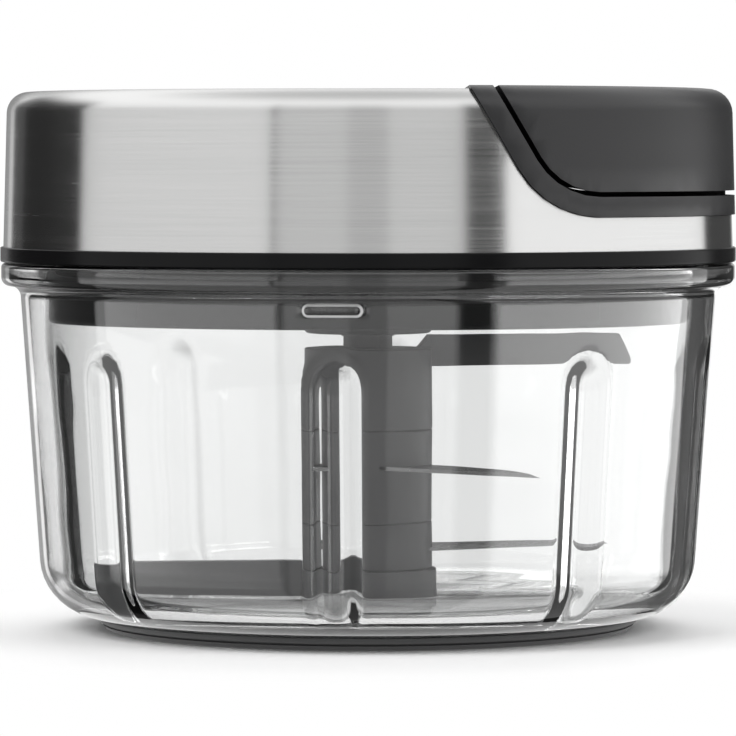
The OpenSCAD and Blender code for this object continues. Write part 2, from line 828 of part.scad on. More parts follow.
run_path = concat(
    [leave_point + (lead + fit) * leave_way],
    [for (i = [0:6])
        let (a = heading * (1 - i / 6))
        [bend_x - bend_r * sin(a), bend_r * (cos(a) - 1), cord_z]],
    [[knot_x + knot_washer_t, 0, cord_z]]);

module cord_winding() { color("white") swept_tube(winding_path, cord_d / 2); }
module cord_run() { color("white") swept_tube(run_path, cord_d / 2); }

// Handle: a shell that completes the lid's round form, closed by a cover on its docked side
module cover_area(grow) {
    intersection() {
        difference() {
            dock_side(handle_d);
            dock_side(handle_d + cover_t + grow);
        }
        translate([0, dock_z0 - over])
            square([cover_screw_x + 7 + grow, cap_top - cover_drop + grow - dock_z0 + over]);
    }
}

module at_cover_screws() { for (s = [-1, 1]) translate([cover_screw_x, s * cover_screw_y, 0]) children(); }

module handle_shell() {
    cavity_half = cover_half - 2.5;
    rim = band_step - handle_wall;
    color("#1a1a1c") difference() {
        intersection() {
            lid_form(band_step);
            across(far) dock_side(handle_d);
        }
        difference() {
            intersection() {
                lid_form(rim - 2);
                across(cavity_half) intersection() {
                    dock_side(handle_d - over);
                    translate([0, dock_z0])
                        square([cover_screw_x + 4.5, cord_z + cover_boss_r + clear - dock_z0]);
                }
            }
            at_cover_screws() translate([0, 0, dock_z0 + handle_d + cover_t + fit])
                cylinder(h = cap_top - cap_z0, r = 3.2);
        }
        intersection() {
            lid_form(rim + run);
            across(cover_half + run) cover_area(run);
        }
        at_cover_screws() translate([0, 0, dock_z0])
            cylinder(h = handle_d + cover_t + cover_screw_length + 1, r = screw_r + fit);
    }
}

module handle_cover() {
    color("#2a2a2c") difference() {
        union() {
            intersection() {
                lid_form(band_step - handle_wall);
                across(cover_half) cover_area(-fit);
            }
            intersection() {
                x_cylinder(bend_x, knot_x, cover_boss_r, cord_z);
                across(far) dock_side(handle_d + cover_t / 2);
            }
        }
        x_cylinder(bend_x, far, throat_r, cord_z);
        at_cover_screws() {
            translate([0, 0, dock_z0]) cylinder(h = handle_d + cover_t + over, r = screw_r + run);
            translate([0, 0, dock_z0]) cylinder(h = handle_d + 1.3, r = 2 * screw_r + run);
        }
    }
}

module handle_screws() {
    color("silver") at_cover_screws() {
        translate([0, 0, dock_z0 + handle_d + 0.2]) cylinder(h = 1, r = 2 * screw_r);
        translate([0, 0, dock_z0 + handle_d + 0.2]) cylinder(h = cover_t + cover_screw_length, r = screw_r);
    }
}

module knot_washer() {
    color("silver") difference() {
        x_cylinder(knot_x, knot_x + knot_washer_t, knot_washer_r, cord_z);
        x_cylinder(knot_x - over, knot_x + knot_washer_t + over, throat_r, cord_z);
    }
}

module cord_knot() {
    seat = knot_x + knot_washer_t;
    color("white") difference() {
        translate([seat + knot_r * 0.8, 0, cord_z]) sphere(knot_r);
        translate([seat - far, -far / 2, 0]) cube([far, far, far]);
    }
}

// Blade column: a keyed core with collars and carriers stacked on it
module keys(grow) {
    for (turn = [0, 180]) rotate(turn)
        translate([0, -key_w / 2 - grow]) square([core_r + key_h + grow, key_w + 2 * grow]);
}

module core_bore(z0, z1) {
    translate([0, 0, z0]) linear_extrude(z1 - z0) {
        circle(core_r + fit);
        rotate(90) keys(fit);
    }
}

module hub_core() {
    color("#5a5a5e") difference() {
        union() {
            translate([0, 0, column_z0]) linear_extrude(column_top - column_z0) {
                circle(core_r);
                rotate(90) keys(0);
            }
            translate([0, 0, column_z0]) cylinder(h = core_flange_h, r = core_flange_r);
        }
        translate([0, 0, socket_z0]) linear_extrude(far) hexagon(spigot_flats + 2 * run);
        translate([0, 0, floor_z - over]) domed_bar(post_h + clear + over, post_r + run);
    }
}

// Stacked collar of the column, with small rounded edges that leave a line between neighbours
module collar(z0, z1, r) { revolve([[0, z0, 0], [r, z0, 0.3], [r, z1, 0.3], [0, z1, 0]]); }

// Upright arm of a paddle: outline in X and Z, centred on Y
module paddle_arm(points) { across(paddle_t / 2) polygon(rounded(points)); }

module lower_paddle() {
    z1 = lower_paddle_z0 + paddle_h;
    color("#5a5a5e") difference() {
        union() {
            collar(column_z0, lower_carrier_z0, column_r + 0.8);
            difference() {
                rotate(paddle_turn + 180) paddle_arm([
                    [core_r + 1, lower_paddle_z0, 0],
                    [paddle_length, lower_paddle_z0, 1],
                    [paddle_length, z1, 1],
                    [column_r + 0.5, z1, 0],
                    [column_r + 0.5, lower_carrier_z0 - 1, 0],
                    [core_r + 1, lower_carrier_z0 - 1, 0]
                ]);
                translate([0, 0, lower_carrier_z0 - over]) cylinder(h = far, r = column_r + clear);
            }
        }
        core_bore(column_z0 - over, lower_carrier_z0 + over);
        translate([0, 0, column_z0 - over]) cylinder(h = core_flange_h + fit + over, r = core_flange_r + fit);
    }
}

// Sickle blade along +X, ground along its leading edge, with an eye round the core
module blade(reach) {
    edge_r = reach * 1.17;
    grind = 1.6;
    difference() {
        union() {
            cylinder(h = blade_t, r = blade_eye_r);
            intersection() {
                translate([reach * 0.3, blade_w / 2 - edge_r, 0])
                    cylinder(h = blade_t, r1 = edge_r, r2 = edge_r - grind);
                linear_extrude(blade_t) polygon([
                    [0, -blade_w / 2], [reach, -blade_w / 5], [reach, blade_w], [0, blade_w]]);
            }
        }
        translate([0, 0, -over]) linear_extrude(blade_t + 2 * over) circle(core_r + key_h + fit);
    }
}

module carrier(z0, z1, blade_z0, turn) {
    difference() {
        collar(z0, z1, column_r);
        core_bore(z0 - over, z1 + over);
        translate([0, 0, blade_z0 - fit]) linear_extrude(blade_t + 2 * fit) {
            circle(blade_eye_r + fit);
            rotate(turn) translate([0, -blade_w / 2 - fit]) square([column_r + over, blade_w + 2 * fit]);
        }
    }
}

module lower_carrier() {
    color("#646468") carrier(lower_carrier_z0, upper_carrier_z0, lower_blade_z0, lower_blade_turn);
}

module lower_blade() {
    color("silver") translate([0, 0, lower_blade_z0]) rotate(lower_blade_turn) blade(lower_blade_length);
}

module upper_carrier() {
    color("#646468") carrier(upper_carrier_z0, top_collar_z0, upper_blade_z0, upper_blade_turn);
}

module upper_blade() {
    color("silver") translate([0, 0, upper_blade_z0]) rotate(upper_blade_turn) blade(upper_blade_length);
}

module upper_paddle() {
    z0 = upper_paddle_z1 - paddle_h;
    color("#5a5a5e") difference() {
        union() {
            collar(top_collar_z0, column_top, column_r);
            rotate(paddle_turn) paddle_arm([
                [core_r + 1.5, z0, 0],
                [paddle_length, z0, 0.6],
                [paddle_length, z0 + 1, 0],
                [paddle_length - 2.3, upper_paddle_z1, 0.4],
                [column_r - 0.5, upper_paddle_z1, 0],
                [core_r + 1.5, column_top - 0.5, 0]
            ]);
        }
        core_bore(top_collar_z0 - over, upper_paddle_z1 + over);
    }
}

bowl();
foot_ring();
lid_base();
seal_ring();
steel_cap();
handle_dock();
cord_eyelet();
reel_frame();
axle_pin();
axle_clip();
thrust_washer();
spring_arbor();
rewind_spring();
drive_bush();
base_screws();
cord_run();
handle_shell();
handle_cover();
handle_screws();
cord_knot();
knot_washer();
reel();
pawl_carrier();
carrier_screws();
pawl_pins();
pawl_springs();
cord_winding();
pawl_a();
pawl_b();
drive_cup();
hub_core();
lower_paddle();
lower_carrier();
lower_blade();
upper_carrier();
upper_blade();
upper_paddle();
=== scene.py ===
"""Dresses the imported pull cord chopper: ribbed glass, brushed steel, dark plastics and cord."""

import json
import math

import bmesh
import bpy
from mathutils import Matrix, Vector

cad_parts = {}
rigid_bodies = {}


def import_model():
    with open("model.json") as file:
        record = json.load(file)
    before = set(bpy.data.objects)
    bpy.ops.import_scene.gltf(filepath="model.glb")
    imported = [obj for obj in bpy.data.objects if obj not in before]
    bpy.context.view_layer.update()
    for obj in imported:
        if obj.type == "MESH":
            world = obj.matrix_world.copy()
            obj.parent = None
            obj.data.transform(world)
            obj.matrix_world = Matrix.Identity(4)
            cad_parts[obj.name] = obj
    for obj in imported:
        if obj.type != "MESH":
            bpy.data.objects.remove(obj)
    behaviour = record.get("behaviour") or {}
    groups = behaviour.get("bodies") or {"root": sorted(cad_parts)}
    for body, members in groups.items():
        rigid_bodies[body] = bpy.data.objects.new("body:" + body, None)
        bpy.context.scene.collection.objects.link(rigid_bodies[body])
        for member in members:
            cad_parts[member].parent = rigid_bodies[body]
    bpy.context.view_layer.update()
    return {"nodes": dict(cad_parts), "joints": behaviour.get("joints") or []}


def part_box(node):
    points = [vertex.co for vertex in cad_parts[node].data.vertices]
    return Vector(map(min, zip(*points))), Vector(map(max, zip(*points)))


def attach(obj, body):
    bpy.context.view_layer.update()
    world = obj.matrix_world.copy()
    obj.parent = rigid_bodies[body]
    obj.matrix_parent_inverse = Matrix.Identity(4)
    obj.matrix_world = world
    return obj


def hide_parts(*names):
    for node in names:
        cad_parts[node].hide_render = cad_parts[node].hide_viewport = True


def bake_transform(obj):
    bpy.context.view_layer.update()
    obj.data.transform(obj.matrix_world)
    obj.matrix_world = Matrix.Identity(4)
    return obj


bl_info = {
    "name": "Pull Cord Chopper",
    "version": (1, 0, 0),
    "blender": (4, 5, 0),
    "location": "View3D > Sidebar > Chopper",
    "description": "Builds the visible pieces of a pull cord food chopper on its packed model",
    "category": "Add Mesh",
}

for leftover in list(bpy.data.objects):
    bpy.data.objects.remove(leftover)
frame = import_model()
NODES = frame["nodes"]

MM = 0.001
FULL_TURN = 2 * math.pi

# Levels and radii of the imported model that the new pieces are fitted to
GLASS_LOW, GLASS_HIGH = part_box("bowl")
CAP_LOW, CAP_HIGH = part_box("steel_cap")
FOOT_LOW, FOOT_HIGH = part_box("foot_ring")
RUN_LOW, RUN_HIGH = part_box("cord_run")
KNOT_LOW, KNOT_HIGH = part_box("cord_knot")
HANDLE_Z0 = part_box("handle_shell")[0].z

RIM_Z = GLASS_HIGH.z
GLASS_Z0 = GLASS_LOW.z
FLANGE_R = GLASS_HIGH.x
FLANGE_Z0 = RIM_Z - 4.2 * MM
FLANGE_WIDTH = 3.5 * MM
CAP_R = -CAP_LOW.x
CAP_Z0 = CAP_LOW.z
CAP_TOP = CAP_HIGH.z
DOCK_Z0 = CAP_Z0 + 6.1 * MM
DOCK_GAP = 0.9 * MM
CORD_Z = (RUN_LOW.z + RUN_HIGH.z) / 2
PULL = next(joint["range_m"][1] for joint in frame["joints"] if joint["name"] == "handle_pull")

BEAD_R = FOOT_HIGH.x - 4.6 * MM
SLOPE = math.radians(4)
RIB_COUNT = 8
RIB_TURN = math.radians(-95.5)
LUG_Z = FLANGE_Z0 - 3 * MM
LUG_HALF = 4.2 * MM
LUG_THICK = 1.25 * MM
DOCK_SLOPE = math.radians(59.5)


def side_r(z):
    """Radius of the glass wall's outer face at a height."""
    return FLANGE_R - FLANGE_WIDTH - (FLANGE_Z0 - z) * math.tan(SLOPE)


# Settings


def length(label, text, default):
    """A length property in metres."""
    return bpy.props.FloatProperty(
        name=label, description=text, default=default, min=0, precision=5, unit="LENGTH"
    )


def colour(label, text, default):
    """A colour property, in linear values."""
    return bpy.props.FloatVectorProperty(
        name=label, description=text, default=default, size=3, min=0, max=1, subtype="COLOR"
    )


class ChopperSizes(bpy.types.PropertyGroup):
    """Sizes of the visible pieces."""

    glass_wall: length("Glass wall", "Thickness of the bowl's side wall", 4.2 * MM)
    glass_floor: length("Glass floor", "Thickness of the bowl's floor", 3.8 * MM)
    rib_depth: length("Rib depth", "How far a rib stands into the bowl", 2.4 * MM)
    rib_half: length("Rib half width", "Half width of a rib at its foot", 5.2 * MM)
    floor_corner: length("Floor corner", "Radius of the rounded corner inside the bowl", 6 * MM)
    rib_drop: length("Rib drop", "Distance from the rim to the top of the ribs", 15.4 * MM)
    lug_height: length("Lug height", "How far the lug stands out of the glass", 0.95 * MM)
    cap_sheet: length("Cap sheet", "Thickness of the steel cap", 0.7 * MM)
    cap_draft: length("Cap draft", "How far the cap's side leans in up to its top", 0.8 * MM)
    cap_edge: length("Cap edge", "Radius of the cap's rounded top edge", 4 * MM)
    dock_x: length("Dock distance", "Distance from the axis to the dock at the top", 18.2 * MM)
    dock_round: length("Dock radius", "Radius at the foot of the dock's back wall", 17 * MM)
    foot_groove: length("Foot groove", "Depth of the grooves round the foot ring", 0.3 * MM)
    leaf_thickness: length("Leaf thickness", "Thickness of the pawls' leaf springs", 0.4 * MM)
    strip_width: length("Strip width", "Width of the soft strip in the dock", 2 * MM)
    cord_thickness: length("Cord thickness", "Diameter of the pull cord", 1.8 * MM)


class ChopperColours(bpy.types.PropertyGroup):
    """Colours of the finishes."""

    glass: colour("Glass", "Tint of the glass", (0.955, 0.96, 0.958))
    steel: colour("Cap steel", "Colour of the brushed cap", (0.78, 0.78, 0.775))
    blade: colour("Blade steel", "Colour of the blades", (0.2, 0.2, 0.2))
    fastener: colour("Plain steel", "Colour of pins and screws", (0.55, 0.55, 0.55))
    spring: colour("Spring steel", "Colour of the springs and clip", (0.32, 0.33, 0.36))
    brass: colour("Brass", "Colour of the drive bush", (0.62, 0.44, 0.2))
    lid: colour("Lid plastic", "Colour of the lid's band and plug", (0.006, 0.006, 0.0064))
    handle: colour("Handle plastic", "Colour of the handle", (0.02, 0.02, 0.021))
    column: colour("Column plastic", "Colour of the blade column", (0.085, 0.085, 0.087))
    inner: colour("Inner plastic", "Colour of the reel frame and carrier", (0.05, 0.05, 0.052))
    pale: colour("Pale plastic", "Colour of the reel", (0.72, 0.72, 0.7))
    rubber: colour("Rubber", "Colour of the foot ring and seal", (0.04, 0.04, 0.041))
    cord: colour("Cord", "Colour of the pull cord", (0.7, 0.69, 0.66))
    floor: colour("Floor", "Colour of the floor", (0.86, 0.86, 0.86))


def sizes():
    """The sizes set in this scene."""
    return bpy.context.scene.chopper_sizes


def colours():
    """The colours set in this scene."""
    return bpy.context.scene.chopper_colours


# Finishes


class Value:
    """A shader output that takes part in plain sums."""

    def __init__(self, finish, socket):
        self.finish, self.socket = finish, socket

    def maths(self, operation, *others):
        """This value put through a maths node, with the others as its further inputs."""
        return self.finish.maths(operation, self, *others)

    def fade(self, start, end):
        """Runs smoothly from 0 to 1 between two limits."""
        return self.finish.node(
            "ShaderNodeMapRange",
            {"interpolation_type": "SMOOTHSTEP"},
            {0: self, 1: start, 2: end, 3: 0.0, 4: 1.0},
        )

    def __add__(self, other):
        return self.maths("ADD", other)

    __radd__ = __add__

    def __sub__(self, other):
        return self.maths("SUBTRACT", other)

    def __rsub__(self, other):
        return self.finish.maths("SUBTRACT", other, self)

    def __mul__(self, other):
        return self.maths("MULTIPLY", other)

    __rmul__ = __mul__

    def __truediv__(self, other):
        return self.maths("DIVIDE", other)

    def __rtruediv__(self, other):
        return self.finish.maths("DIVIDE", other, self)

    def __pow__(self, other):
        return self.maths("POWER", other)

    def __gt__(self, other):
        return self.maths("GREATER_THAN", other)

    def __lt__(self, other):
        return self.maths("LESS_THAN", other)

    def __abs__(self):
        return self.maths("ABSOLUTE")


def hypot(x, y):
    """Length of the vector with two parts."""
    return (x * x + y * y) ** 0.5


class Finish:
    """A material, or the world, and the nodes that make it."""

    def __init__(self, owner):
        self.owner = owner
        owner.use_nodes = True
        self.tree = owner.node_tree
        self.tree.nodes.clear()

    def node(self, kind, settings, values, out=0):
        """Adds a node: its settings first, then the values or links of its sockets."""
        made = self.tree.nodes.new(kind)
        for key, value in settings.items():
            if key == "stops":
                ramp = made.color_ramp
                for place, _ in value[1:-1]:
                    ramp.elements.new(place)
                for element, (place, level) in zip(ramp.elements, value):
                    element.position, element.color = place, (level, level, level, 1)
            else:
                setattr(made, key, value)
        for key, value in values.items():
            if isinstance(value, Value):
                self.tree.links.new(value.socket, made.inputs[key])
            else:
                made.inputs[key].default_value = value
        return Value(self, made.outputs[out]) if made.outputs else None

    def maths(self, operation, *terms):
        """A maths node on numbers and values."""
        return self.node("ShaderNodeMath", {"operation": operation}, dict(enumerate(terms)))

    def place(self, kind="Object"):
        """Texture coordinates of one kind."""
        return self.node("ShaderNodeTexCoord", {}, {}, kind)

    def parts(self, vector, axes="XYZ"):
        """The components of a vector."""
        return [self.node("ShaderNodeSeparateXYZ", {}, {0: vector}, axis) for axis in axes]

    def rays(self, *names):
        """Outputs of the light path: the kind of ray, or how often it has bounced."""
        return [self.node("ShaderNodeLightPath", {}, {}, name) for name in names]

    def vector(self, x, y, z):
        """A vector from three values."""
        return self.node("ShaderNodeCombineXYZ", {}, {0: x, 1: y, 2: z})

    def noise(self, where, scale, detail=2.0, rough=0.5):
        """Noise between about 0 and 1."""
        values = {"Vector": where, "Scale": scale, "Detail": detail, "Roughness": rough}
        return self.node("ShaderNodeTexNoise", {}, values)

    def bump(self, height, distance, strength=1.0):
        """A normal that is tilted by a height."""
        values = {"Strength": strength, "Distance": distance, "Height": height}
        return self.node("ShaderNodeBump", {}, values)

    def mix(self, factor, first, second):
        """A colour between two colours."""
        return self.node("ShaderNodeMix", {"data_type": "RGBA"}, {0: factor, 6: first, 7: second}, 2)

    def shade(self, tint, low, high, factor):
        """A colour between two levels of one tint."""
        first, second = ([c * level for c in tint] + [1] for level in (low, high))
        return self.mix(factor, first, second)

    def principled(self, values):
        """The principled shader."""
        return self.node("ShaderNodeBsdfPrincipled", {}, values)

    def blend(self, factor, first, second):
        """A shader between two shaders."""
        return self.node("ShaderNodeMixShader", {}, {0: factor, 1: first, 2: second})

    def end(self, shader, output="ShaderNodeOutputMaterial"):
        """Links the last shader to the output, and gives the material or world."""
        self.node(output, {}, {"Surface": shader})
        return self.owner


def new_finish(name):
    """An empty finish for a material."""
    return Finish(bpy.data.materials.new(name))


def clear_glass():
    """Thick pressed glass with a faint ripple, and a pale painted highlight round the edge of the
    lug.
    """
    finish = new_finish("clear_glass")
    spot = finish.place()
    x, y, z = finish.parts(spot)
    glass = finish.principled(
        {
            "Base Color": [*colours().glass, 1],
            "Roughness": 0.0,
            "IOR": 1.52,
            "Transmission Weight": 1.0,
            "Coat Weight": 0.7,
            "Coat Roughness": 0.0,
            "Normal": finish.bump(finish.noise(spot, 55.0, 1.0), 0.25 * MM, 0.5),
        }
    )
    # Painted highlight: a pale matt band round the lug's edge stands in for the bright line the
    # glass's refraction gives there
    painted_lug_highlight = finish.principled({"Base Color": (0.85, 0.85, 0.85, 1), "Roughness": 0.5})
    across = y * math.cos(RIB_TURN) - x * math.sin(RIB_TURN)
    past = (abs(across) - LUG_HALF).maths("MAXIMUM", 0.0)
    from_edge = abs(hypot(past, z - LUG_Z) - (LUG_THICK - 0.25 * MM))
    highlight_rim = ((1 - from_edge / (0.3 * MM)) * 2).maths("MINIMUM", 1.0).maths("MAXIMUM", 0.0)
    outside = hypot(x, y) > side_r(LUG_Z) - 1 * MM
    return finish.end(finish.blend(highlight_rim * outside * 0.8, glass, painted_lug_highlight))


def brushed_steel():
    """Steel brushed round the axis, with fine broken lines."""
    finish = new_finish("cap_steel")
    x, y, z = finish.parts(finish.place())
    level = z - hypot(x, y)
    fine = finish.noise(finish.vector(level * 3800, x * 25, y * 25), 1.0, 3.0, 0.6)
    broad = finish.noise(finish.vector(level * 420, x * 12, y * 12), 1.0, 2.0)
    lines = fine * 0.7 + broad * 0.3
    steel = finish.principled(
        {
            "Base Color": finish.shade(colours().steel, 0.93, 1.07, lines),
            "Metallic": 1.0,
            "Roughness": lines * 0.22 + 0.12,
            "Anisotropic": 1.0,
            "Anisotropic Rotation": 0.25,
            "Normal": finish.bump(lines, 0.0015 * MM, 0.5),
        }
    )
    return finish.end(steel)


def bare_metal(name, tint, rough, scratch):
    """Plain metal with fine scratches and a little staining."""
    finish = new_finish(name)
    spot = finish.place()
    x, y, z = finish.parts(spot)
    lines = finish.noise(finish.vector(x * 700, y * 700, z * 2400), 1.0, 3.0)
    stain = finish.noise(spot, 90.0, 3.0)
    metal = finish.principled(
        {
            "Base Color": finish.shade(tint, 0.85, 1.12, stain),
            "Metallic": 1.0,
            "Roughness": lines * scratch + rough,
            "Normal": finish.bump(lines, 0.006 * MM, 0.5),
        }
    )
    return finish.end(metal)


def moulded(name, tint, rough, grain, depth, gloss=0.5):
    """Moulded plastic with a fine grain and slightly uneven gloss."""
    finish = new_finish(name)
    spot = finish.place()
    pits = finish.noise(spot, grain, 3.0, 0.6)
    cloud = finish.noise(spot, 60.0, 2.0)
    plastic = finish.principled(
        {
            "Base Color": finish.shade(tint, 0.88, 1.12, cloud),
            "Roughness": cloud * 0.1 + pits * 0.08 + (rough - 0.09),
            "Specular IOR Level": gloss,
            "Normal": finish.bump(pits, depth, 0.6),
        }
    )
    return finish.end(plastic)


def foot_rubber():
    """Soft rubber, pale on top where the glass sits on it: painted light for the light that comes
    through the glass.
    """
    finish = new_finish("foot_rubber")
    spot = finish.place()
    x, y, z = finish.parts(spot)
    pits = finish.noise(spot, 2600.0, 3.0, 0.6)
    # Painted light: the top under the glass is pale, in place of the light seen there through the
    # glass's base
    painted_light_mask = (z > GLASS_Z0 - 0.12 * MM) * (hypot(x, y) < FOOT_HIGH.x - 1.3 * MM)
    black = finish.shade(colours().rubber, 0.85, 1.15, pits)
    rubber = finish.principled(
        {
            "Base Color": finish.mix(painted_light_mask, black, (0.6, 0.6, 0.6, 1)),
            "Roughness": pits * 0.1 + 0.5,
            "Normal": finish.bump(pits, 0.03 * MM, 0.6),
        }
    )
    return finish.end(rubber)


def braided():
    """Braided cord: two sets of strands that cross over each other."""
    finish = new_finish("cord")
    along, around = finish.parts(finish.place("UV"), "XY")
    lay, strands = along * 5200, around * (FULL_TURN * 4)
    weave = (lay + strands).maths("SINE").maths("MAXIMUM", (lay - strands).maths("SINE"))
    height = weave * 0.5 + 0.5
    cord = finish.principled(
        {
            # Darker where the strands dip: painted shade in the hollows of the weave
            "Base Color": finish.shade(colours().cord, 0.55, 1.08, height),
            "Roughness": 0.75,
            "Normal": finish.bump(height, 0.15 * MM, 0.8),
        }
    )
    return finish.end(cord)


# Moulded slots say colour, roughness, scale and depth of the grain, and gloss
# Metal slots say colour, least roughness and what the scratches add to it
FINISHES = {
    "clear_glass": clear_glass,
    "cap_steel": brushed_steel,
    "soft_black": lambda: moulded("soft_black", colours().rubber, 0.55, 2600.0, 0.03 * MM),
    "lid_plastic": lambda: moulded("lid_plastic", colours().lid, 0.2, 1500.0, 0.004 * MM, 0.14),
    "handle_plastic": lambda: moulded("handle_plastic", colours().handle, 0.36, 2600.0, 0.02 * MM),
    "column_plastic": lambda: moulded("column_plastic", colours().column, 0.4, 1800.0, 0.012 * MM),
    "inner_plastic": lambda: moulded("inner_plastic", colours().inner, 0.45, 1800.0, 0.015 * MM),
    "pale_plastic": lambda: moulded("pale_plastic", colours().pale, 0.4, 1800.0, 0.012 * MM),
    "blade_steel": lambda: bare_metal("blade_steel", colours().blade, 0.14, 0.2),
    "plain_steel": lambda: bare_metal("plain_steel", colours().fastener, 0.22, 0.22),
    "spring_steel": lambda: bare_metal("spring_steel", colours().spring, 0.25, 0.25),
    "bush_brass": lambda: bare_metal("bush_brass", colours().brass, 0.28, 0.2),
    "cord": braided,
    "foot_rubber": foot_rubber,
}


def finish_for(slot):
    """The material of a slot, made once."""
    made = [m for m in bpy.data.materials if m.get("chopper_slot") == slot]
    if made:
        return made[0]
    material = FINISHES[slot]()
    material["chopper_slot"] = slot
    return material


# Modelling helpers


def polar(reach, angle, z=0.0):
    """A point by its distance and angle round Z."""
    return Vector((reach * math.cos(angle), reach * math.sin(angle), z))


def verts_in(geometry):
    """The vertices in a list of mesh parts."""
    return [item for item in geometry if isinstance(item, bmesh.types.BMVert)]


def outline(bm, points, closed, segments=8):
    """A chain of edges through (radius, height, corner radius) points, with round corners."""
    verts = [bm.verts.new((r, 0, z)) for r, z, _ in points]
    pairs = list(zip(verts, verts[1:])) + ([(verts[-1], verts[0])] if closed else [])
    for pair in pairs:
        bm.edges.new(pair)
    for vert, (_, _, corner) in zip(verts, points):
        if corner:
            one, two = (edge.other_vert(vert).co - vert.co for edge in vert.link_edges)
            bmesh.ops.bevel(
                bm,
                geom=[vert],
                offset=corner / math.tan(one.angle(two) / 2),
                offset_type="OFFSET",
                affect="VERTICES",
                segments=segments,
                profile=0.5,
                material=-1,
                clamp_overlap=False,
            )


def divide(bm, step, chosen=lambda middle: True):
    """Divides the chosen edges into lengths of about a step."""
    for edge in list(bm.edges):
        cuts = int(edge.calc_length() / step)
        if cuts and chosen((edge.verts[0].co + edge.verts[1].co) / 2):
            bmesh.ops.subdivide_edges(bm, edges=[edge], cuts=cuts)


def spin(bm, steps, angle=FULL_TURN):
    """Turns the outline round Z; a full turn is closed and faces outwards."""
    whole = angle == FULL_TURN
    bmesh.ops.spin(
        bm,
        geom=bm.verts[:] + bm.edges[:],
        cent=(0, 0, 0),
        axis=(0, 0, 1),
        dvec=(0, 0, 0),
        angle=angle,
        steps=steps,
        use_merge=whole,
    )
    if whole:
        tidy(bm)


def turn(bm, geometry, angle):
    """Turns part of a mesh round Z."""
    around = Matrix.Rotation(angle, 3, "Z")
    bmesh.ops.rotate(bm, verts=verts_in(geometry), cent=(0, 0, 0), matrix=around)


def slab(points, way):
    """A flat outline drawn out along a way into a closed solid."""
    bm = bmesh.new()
    face = bm.faces.new([bm.verts.new(point) for point in points])
    grown = bmesh.ops.extrude_face_region(bm, geom=[face])["geom"]
    bmesh.ops.translate(bm, verts=verts_in(grown), vec=way)
    bmesh.ops.recalc_face_normals(bm, faces=bm.faces[:])
    return bm


def tidy(bm):
    """Merges doubles and points the faces outwards."""
    bmesh.ops.remove_doubles(bm, verts=bm.verts[:], dist=0.001 * MM)
    bmesh.ops.recalc_face_normals(bm, faces=bm.faces[:])


def new_object(name, data):
    """A new object in the scene."""
    made = bpy.data.objects.new(name, data)
    bpy.context.scene.collection.objects.link(made)
    return made


def new_shape(name, bm, material):
    """A mesh object with its material."""
    mesh = bpy.data.meshes.new(name)
    bm.to_mesh(mesh)
    bm.free()
    mesh.materials.append(material)
    return new_object(name, mesh)


def new_piece(name, bm, slot, smooth=35, finish=None):
    """A piece of the chopper, smooth up to an angle, with the finish of its slot."""
    piece = new_shape(name, bm, finish_for(finish or slot))
    piece.data.shade_smooth()
    piece.data.set_sharp_from_angle(angle=math.radians(smooth))
    return piece


def soften(piece, width, segments=2, limit=32, weld=False):
    """Rounds a piece's sharp edges with live modifiers."""
    if weld:
        piece.modifiers.new("Join", "WELD").merge_threshold = 0.005 * MM
    bevel = piece.modifiers.new("Soft edge", "BEVEL")
    bevel.width, bevel.segments = width, segments
    bevel.limit_method, bevel.angle_limit = "ANGLE", math.radians(limit)
    bevel.harden_normals = True
    bevel.miter_outer = "MITER_ARC"


# Bowl


